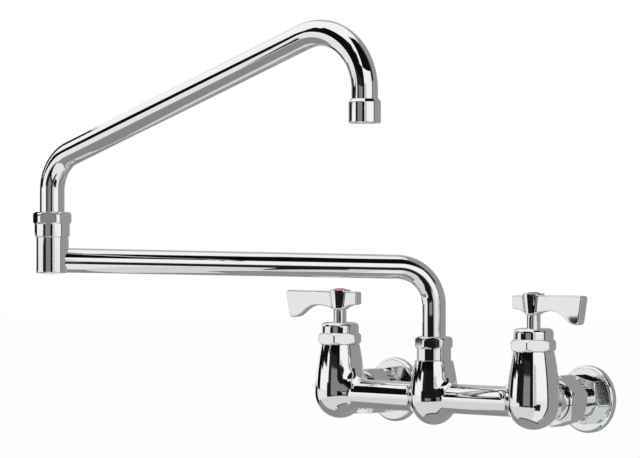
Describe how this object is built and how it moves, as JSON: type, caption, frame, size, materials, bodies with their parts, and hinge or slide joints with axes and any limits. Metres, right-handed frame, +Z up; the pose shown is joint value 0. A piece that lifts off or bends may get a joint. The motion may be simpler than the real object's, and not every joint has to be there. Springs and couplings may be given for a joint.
{
  "type": "commercial wall faucet",
  "caption": "Wall-mounted commercial kitchen faucet in chrome: lever valves on a cast cross body, hex coupling inlets and a double-jointed swing spout with a high outlet.",
  "frame": {"origin": "in the wall plane, midway between the axes of the two supply inlets", "axes": "+X along the wall to the right as the user faces it, +Y into the wall, +Z up along the valve and spout axes"},
  "size_m": [0.3412, 0.3373, 0.3109],
  "materials": {
    "cast_chrome": "bright chrome plate on polished cast brass",
    "turned_chrome": "bright chrome plate on machined brass",
    "tube_chrome": "bright chrome plate on drawn brass tube",
    "lever_chrome": "bright chrome plate on die-cast and turned parts",
    "brass": "plain machined brass, hidden inside",
    "ceramic": "lapped white ceramic, hidden inside",
    "rubber": "black moulded rubber",
    "bearing_plastic": "off-white bearing plastic",
    "stainless": "stainless steel",
    "red_index": "red index button",
    "blue_index": "blue index button"
  },
  "bodies": {
    "fixed_body": {"faucet_body": "cast_chrome", "wall_flange_left": "cast_chrome", "wall_flange_right": "cast_chrome", "inlet_tail_left": "brass", "inlet_tail_right": "brass", "coupling_nut_left": "turned_chrome", "coupling_nut_right": "turned_chrome", "inlet_washer_left": "rubber", "inlet_washer_right": "rubber", "cartridge_housing_left": "brass", "cartridge_housing_right": "brass", "seat_seal_left": "rubber", "seat_seal_right": "rubber", "fixed_disc_left": "ceramic", "fixed_disc_right": "ceramic", "bonnet_left": "turned_chrome", "bonnet_right": "turned_chrome", "pivot_nut": "turned_chrome", "pivot_glide_ring": "bearing_plastic"},
    "lower_arm": {"lower_shank": "brass", "lower_shank_oring": "rubber", "lower_spout_tube": "tube_chrome", "knuckle_body": "turned_chrome", "knuckle_nut": "turned_chrome", "knuckle_glide_ring": "bearing_plastic"},
    "upper_arm": {"upper_shank": "brass", "upper_shank_oring": "rubber", "upper_spout_tube": "tube_chrome", "aerator_housing": "turned_chrome", "aerator_insert": "stainless", "aerator_washer": "rubber"},
    "handle_left": {"lever_handle_left": "lever_chrome", "valve_stem_left": "lever_chrome", "stem_oring_left": "rubber", "turning_disc_left": "ceramic", "handle_screw_left": "stainless", "index_button_left": "red_index"},
    "handle_right": {"lever_handle_right": "lever_chrome", "valve_stem_right": "lever_chrome", "stem_oring_right": "rubber", "turning_disc_right": "ceramic", "handle_screw_right": "stainless", "index_button_right": "blue_index"}
  },
  "joints": [
    {"name": "lower_arm_swing", "type": "hinge", "parent": "fixed_body", "child": "lower_arm", "pos_m": [0, -0.0705, 0.0293], "axis": [0, 0, 1], "range_deg": [-65, 134]},
    {"name": "upper_arm_swing", "type": "hinge", "parent": "lower_arm", "child": "upper_arm", "pos_m": [-0.17176, -0.32229, 0.1281], "axis": [0, 0, 1], "continuous": true},
    {"name": "handle_left_turn", "type": "hinge", "parent": "fixed_body", "child": "handle_left", "pos_m": [-0.1016, -0.0705, 0.0684], "axis": [0, 0, 1], "range_deg": [0, 90]},
    {"name": "handle_right_turn", "type": "hinge", "parent": "fixed_body", "child": "handle_right", "pos_m": [0.1016, -0.0705, 0.0684], "axis": [0, 0, 1], "range_deg": [-90, 0]}
  ]
}
